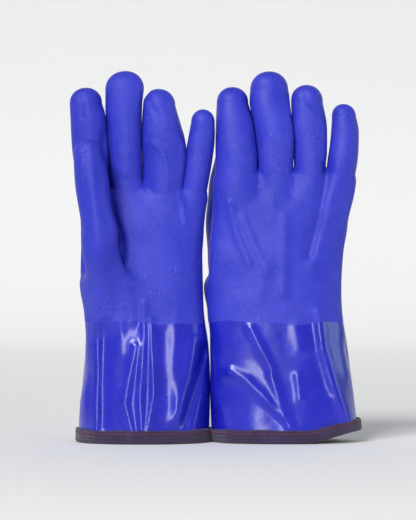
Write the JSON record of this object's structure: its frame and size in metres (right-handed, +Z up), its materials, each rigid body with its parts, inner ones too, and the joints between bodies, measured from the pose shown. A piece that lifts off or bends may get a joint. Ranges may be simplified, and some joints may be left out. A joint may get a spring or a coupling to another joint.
{
  "type": "cryogenic gloves",
  "caption": "Pair of blue PVC-coated gauntlet gloves with a pile lining, frosted hands, glossy cuffs and bound hems, standing on their cuffs with the fingers up.",
  "frame": {"origin": "on the floor, under the middle of the pair's bounding box", "axes": "+Z up along the fingers, +X from the left glove to the right glove, -Y the side that the left glove's palm faces"},
  "size_m": [0.2356, 0.1, 0.302],
  "materials": {
    "frosted_coat": "frosted matt",
    "glossy_coat": "smooth gloss",
    "pile_lining": "brushed pile",
    "binding_tape": "woven tape",
    "binding_thread": "thread"
  },
  "bodies": {
    "left_cuff": {"left_gauntlet": "glossy_coat", "left_cuff_lining": "pile_lining", "left_hem_binding": "binding_tape", "left_binding_thread": "binding_thread"},
    "left_hand": {"left_palm": "frosted_coat", "left_palm_lining": "pile_lining"},
    "left_index_base": {"left_index_base": "frosted_coat", "left_index_base_lining": "pile_lining"},
    "left_index_tip": {"left_index_tip": "frosted_coat", "left_index_tip_lining": "pile_lining"},
    "left_middle_base": {"left_middle_base": "frosted_coat", "left_middle_base_lining": "pile_lining"},
    "left_middle_tip": {"left_middle_tip": "frosted_coat", "left_middle_tip_lining": "pile_lining"},
    "left_ring_base": {"left_ring_base": "frosted_coat", "left_ring_base_lining": "pile_lining"},
    "left_ring_tip": {"left_ring_tip": "frosted_coat", "left_ring_tip_lining": "pile_lining"},
    "left_little_base": {"left_little_base": "frosted_coat", "left_little_base_lining": "pile_lining"},
    "left_little_tip": {"left_little_tip": "frosted_coat", "left_little_tip_lining": "pile_lining"},
    "left_thumb_base": {"left_thumb_base": "frosted_coat", "left_thumb_base_lining": "pile_lining"},
    "left_thumb_tip": {"left_thumb_tip": "frosted_coat", "left_thumb_tip_lining": "pile_lining"},
    "right_cuff": {"right_gauntlet": "glossy_coat", "right_cuff_lining": "pile_lining", "right_hem_binding": "binding_tape", "right_binding_thread": "binding_thread"},
    "right_hand": {"right_palm": "frosted_coat", "right_palm_lining": "pile_lining"},
    "right_index_base": {"right_index_base": "frosted_coat", "right_index_base_lining": "pile_lining"},
    "right_index_tip": {"right_index_tip": "frosted_coat", "right_index_tip_lining": "pile_lining"},
    "right_middle_base": {"right_middle_base": "frosted_coat", "right_middle_base_lining": "pile_lining"},
    "right_middle_tip": {"right_middle_tip": "frosted_coat", "right_middle_tip_lining": "pile_lining"},
    "right_ring_base": {"right_ring_base": "frosted_coat", "right_ring_base_lining": "pile_lining"},
    "right_ring_tip": {"right_ring_tip": "frosted_coat", "right_ring_tip_lining": "pile_lining"},
    "right_little_base": {"right_little_base": "frosted_coat", "right_little_base_lining": "pile_lining"},
    "right_little_tip": {"right_little_tip": "frosted_coat", "right_little_tip_lining": "pile_lining"},
    "right_thumb_base": {"right_thumb_base": "frosted_coat", "right_thumb_base_lining": "pile_lining"},
    "right_thumb_tip": {"right_thumb_tip": "frosted_coat", "right_thumb_tip_lining": "pile_lining"}
  },
  "joints": [
    {"name": "left_wrist", "type": "hinge", "parent": "left_cuff", "child": "left_hand", "pos_m": [-0.05595, 0, 0.097], "axis": [1, 0, 0], "range_deg": [-20, 20], "stiffness_Nm_per_rad": 4},
    {"name": "left_index_knuckle", "type": "hinge", "parent": "left_hand", "child": "left_index_base", "pos_m": [-0.10185, 0, 0.206], "axis": [1, 0, 0], "range_deg": [0, 50], "stiffness_Nm_per_rad": 0.2},
    {"name": "left_index_middle", "type": "hinge", "parent": "left_index_base", "child": "left_index_tip", "pos_m": [-0.10376, 0, 0.248], "axis": [1, 0, 0], "range_deg": [0, 65], "stiffness_Nm_per_rad": 0.08},
    {"name": "left_middle_knuckle", "type": "hinge", "parent": "left_hand", "child": "left_middle_base", "pos_m": [-0.07154, 0, 0.206], "axis": [1, 0, 0], "range_deg": [0, 50], "stiffness_Nm_per_rad": 0.2},
    {"name": "left_middle_middle", "type": "hinge", "parent": "left_middle_base", "child": "left_middle_tip", "pos_m": [-0.07212, 0, 0.254], "axis": [1, 0, 0], "range_deg": [0, 65], "stiffness_Nm_per_rad": 0.08},
    {"name": "left_ring_knuckle", "type": "hinge", "parent": "left_hand", "child": "left_ring_base", "pos_m": [-0.04224, 0, 0.206], "axis": [1, 0, 0], "range_deg": [0, 50], "stiffness_Nm_per_rad": 0.2},
    {"name": "left_ring_middle", "type": "hinge", "parent": "left_ring_base", "child": "left_ring_tip", "pos_m": [-0.04402, 0, 0.249], "axis": [1, 0, 0], "range_deg": [0, 65], "stiffness_Nm_per_rad": 0.08},
    {"name": "left_little_knuckle", "type": "hinge", "parent": "left_hand", "child": "left_little_base", "pos_m": [-0.01719, 0, 0.206], "axis": [1, 0, 0], "range_deg": [0, 50], "stiffness_Nm_per_rad": 0.2},
    {"name": "left_little_middle", "type": "hinge", "parent": "left_little_base", "child": "left_little_tip", "pos_m": [-0.01379, 0, 0.24], "axis": [1, 0, 0], "range_deg": [0, 65], "stiffness_Nm_per_rad": 0.08},
    {"name": "left_thumb_swing", "type": "hinge", "parent": "left_hand", "child": "left_thumb_base", "pos_m": [-0.09184, -0.037, 0.15], "axis": [1, 0, 0], "range_deg": [0, 40], "stiffness_Nm_per_rad": 0.2},
    {"name": "left_thumb_bend", "type": "hinge", "parent": "left_thumb_base", "child": "left_thumb_tip", "pos_m": [-0.0992, -0.037, 0.2], "axis": [0, 1, 0], "range_deg": [0, 40], "stiffness_Nm_per_rad": 0.08},
    {"name": "right_glove_apart", "type": "slide", "parent": "left_cuff", "child": "right_cuff", "axis": [1, 0, 0], "range_m": [0, 0.15]},
    {"name": "right_wrist", "type": "hinge", "parent": "right_cuff", "child": "right_hand", "pos_m": [0.05006, 0, 0.097], "axis": [1, 0, 0], "range_deg": [-20, 20], "stiffness_Nm_per_rad": 4},
    {"name": "right_index_knuckle", "type": "hinge", "parent": "right_hand", "child": "right_index_base", "pos_m": [0.01855, 0, 0.21], "axis": [-1, 0, 0], "range_deg": [0, 50], "stiffness_Nm_per_rad": 0.2},
    {"name": "right_index_middle", "type": "hinge", "parent": "right_index_base", "child": "right_index_tip", "pos_m": [0.01547, 0, 0.252], "axis": [-1, 0, 0], "range_deg": [0, 65], "stiffness_Nm_per_rad": 0.08},
    {"name": "right_middle_knuckle", "type": "hinge", "parent": "right_hand", "child": "right_middle_base", "pos_m": [0.04886, 0, 0.21], "axis": [-1, 0, 0], "range_deg": [0, 50], "stiffness_Nm_per_rad": 0.2},
    {"name": "right_middle_middle", "type": "hinge", "parent": "right_middle_base", "child": "right_middle_tip", "pos_m": [0.04588, 0, 0.258], "axis": [-1, 0, 0], "range_deg": [0, 65], "stiffness_Nm_per_rad": 0.08},
    {"name": "right_ring_knuckle", "type": "hinge", "parent": "right_hand", "child": "right_ring_base", "pos_m": [0.07816, 0, 0.21], "axis": [-1, 0, 0], "range_deg": [0, 50], "stiffness_Nm_per_rad": 0.2},
    {"name": "right_ring_middle", "type": "hinge", "parent": "right_ring_base", "child": "right_ring_tip", "pos_m": [0.07525, 0, 0.253], "axis": [-1, 0, 0], "range_deg": [0, 65], "stiffness_Nm_per_rad": 0.08},
    {"name": "right_little_knuckle", "type": "hinge", "parent": "right_hand", "child": "right_little_base", "pos_m": [0.10321, 0, 0.21], "axis": [-1, 0, 0], "range_deg": [0, 50], "stiffness_Nm_per_rad": 0.2},
    {"name": "right_little_middle", "type": "hinge", "parent": "right_little_base", "child": "right_little_tip", "pos_m": [0.10405, 0, 0.244], "axis": [-1, 0, 0], "range_deg": [0, 65], "stiffness_Nm_per_rad": 0.08},
    {"name": "right_thumb_swing", "type": "hinge", "parent": "right_hand", "child": "right_thumb_base", "pos_m": [0.00816, 0.037, 0.143], "axis": [-1, 0, 0], "range_deg": [0, 40], "stiffness_Nm_per_rad": 0.2},
    {"name": "right_thumb_bend", "type": "hinge", "parent": "right_thumb_base", "child": "right_thumb_tip", "pos_m": [0.00816, 0.037, 0.193], "axis": [0, 1, 0], "range_deg": [0, 40], "stiffness_Nm_per_rad": 0.08}
  ],
  "couplings": [
    {"joint": "left_index_middle", "follows": "left_index_knuckle", "ratio": 1.3},
    {"joint": "left_thumb_swing", "follows": "left_index_knuckle", "ratio": 0.8},
    {"joint": "right_index_middle", "follows": "right_index_knuckle", "ratio": 1.3},
    {"joint": "right_thumb_swing", "follows": "right_index_knuckle", "ratio": 0.8}
  ]
}
